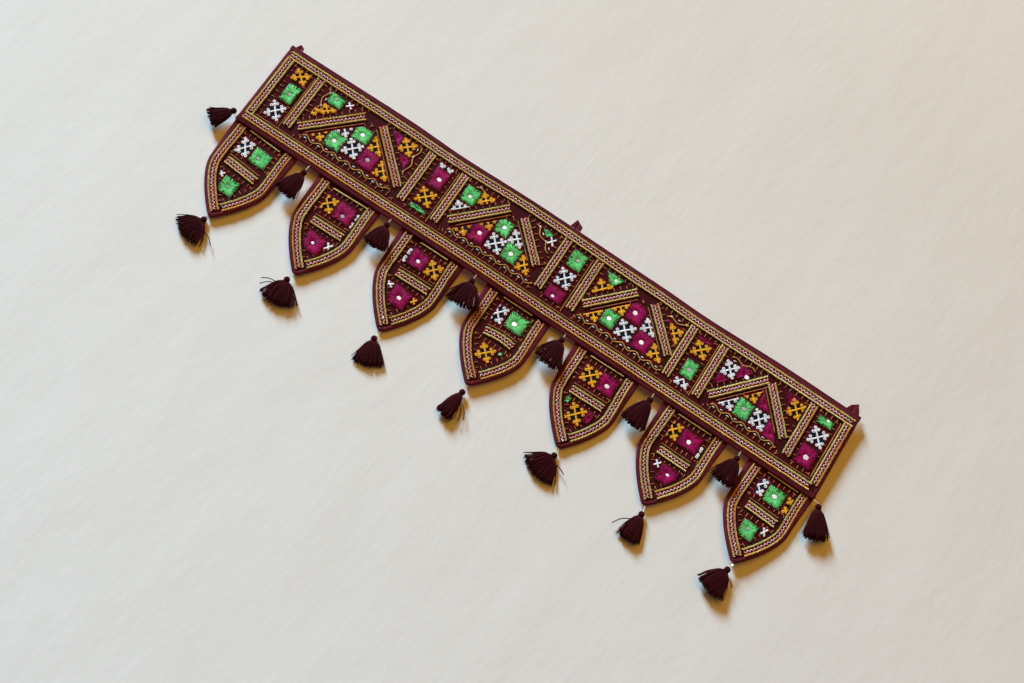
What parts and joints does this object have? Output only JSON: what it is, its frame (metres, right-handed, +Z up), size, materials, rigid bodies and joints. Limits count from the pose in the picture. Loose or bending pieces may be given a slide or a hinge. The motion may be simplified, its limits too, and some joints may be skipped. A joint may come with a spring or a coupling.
{
  "type": "toran door hanging",
  "caption": "Embroidered cloth band with leaf-shaped pennants, mirror work and yarn tassels, hung along the top of a doorway.",
  "frame": {"origin": "middle of the band's top edge, halfway through the cloth", "axes": "+X along the band, +Z up, the worked front facing -Y"},
  "size_m": [1.0959, 0.0193, 0.3604],
  "materials": {
    "ground": "dark maroon cotton, worked all over with stitches",
    "binding": "plain maroon cotton binding",
    "braid": "couched khaki and gold cord beside a crimson strip",
    "yarn": "very dark maroon worsted yarn",
    "thread": "cream cotton thread"
  },
  "bodies": {
    "root": {"band_cloth": "ground", "binding_top": "binding", "binding_lower": "binding", "binding_left": "binding", "binding_right": "binding", "band_braid": "braid", "tab_left": "binding", "tab_middle": "binding", "tab_right": "binding", "pennant_1_cloth": "ground", "pennant_2_cloth": "ground", "pennant_3_cloth": "ground", "pennant_4_cloth": "ground", "pennant_5_cloth": "ground", "pennant_6_cloth": "ground", "pennant_7_cloth": "ground", "pennant_1_binding": "binding", "pennant_2_binding": "binding", "pennant_3_binding": "binding", "pennant_4_binding": "binding", "pennant_5_binding": "binding", "pennant_6_binding": "binding", "pennant_7_binding": "binding", "pennant_1_braid": "braid", "pennant_2_braid": "braid", "pennant_3_braid": "braid", "pennant_4_braid": "braid", "pennant_5_braid": "braid", "pennant_6_braid": "braid", "pennant_7_braid": "braid", "pennant_1_bar": "braid", "pennant_2_bar": "braid", "pennant_3_bar": "braid", "pennant_4_bar": "braid", "pennant_5_bar": "braid", "pennant_6_bar": "braid", "pennant_7_bar": "braid", "tassel_side_1": "yarn", "tassel_side_2": "yarn", "tassel_side_3": "yarn", "tassel_side_4": "yarn", "tassel_side_5": "yarn", "tassel_side_6": "yarn", "tassel_side_7": "yarn", "tassel_side_8": "yarn", "tassel_tip_1": "yarn", "tassel_tip_2": "yarn", "tassel_tip_3": "yarn", "tassel_tip_4": "yarn", "tassel_tip_5": "yarn", "tassel_tip_6": "yarn", "tassel_tip_7": "yarn", "thread_1": "thread", "thread_2": "thread", "thread_3": "thread", "thread_4": "thread", "thread_5": "thread", "thread_6": "thread", "thread_7": "thread"}
  },
  "joints": []
}
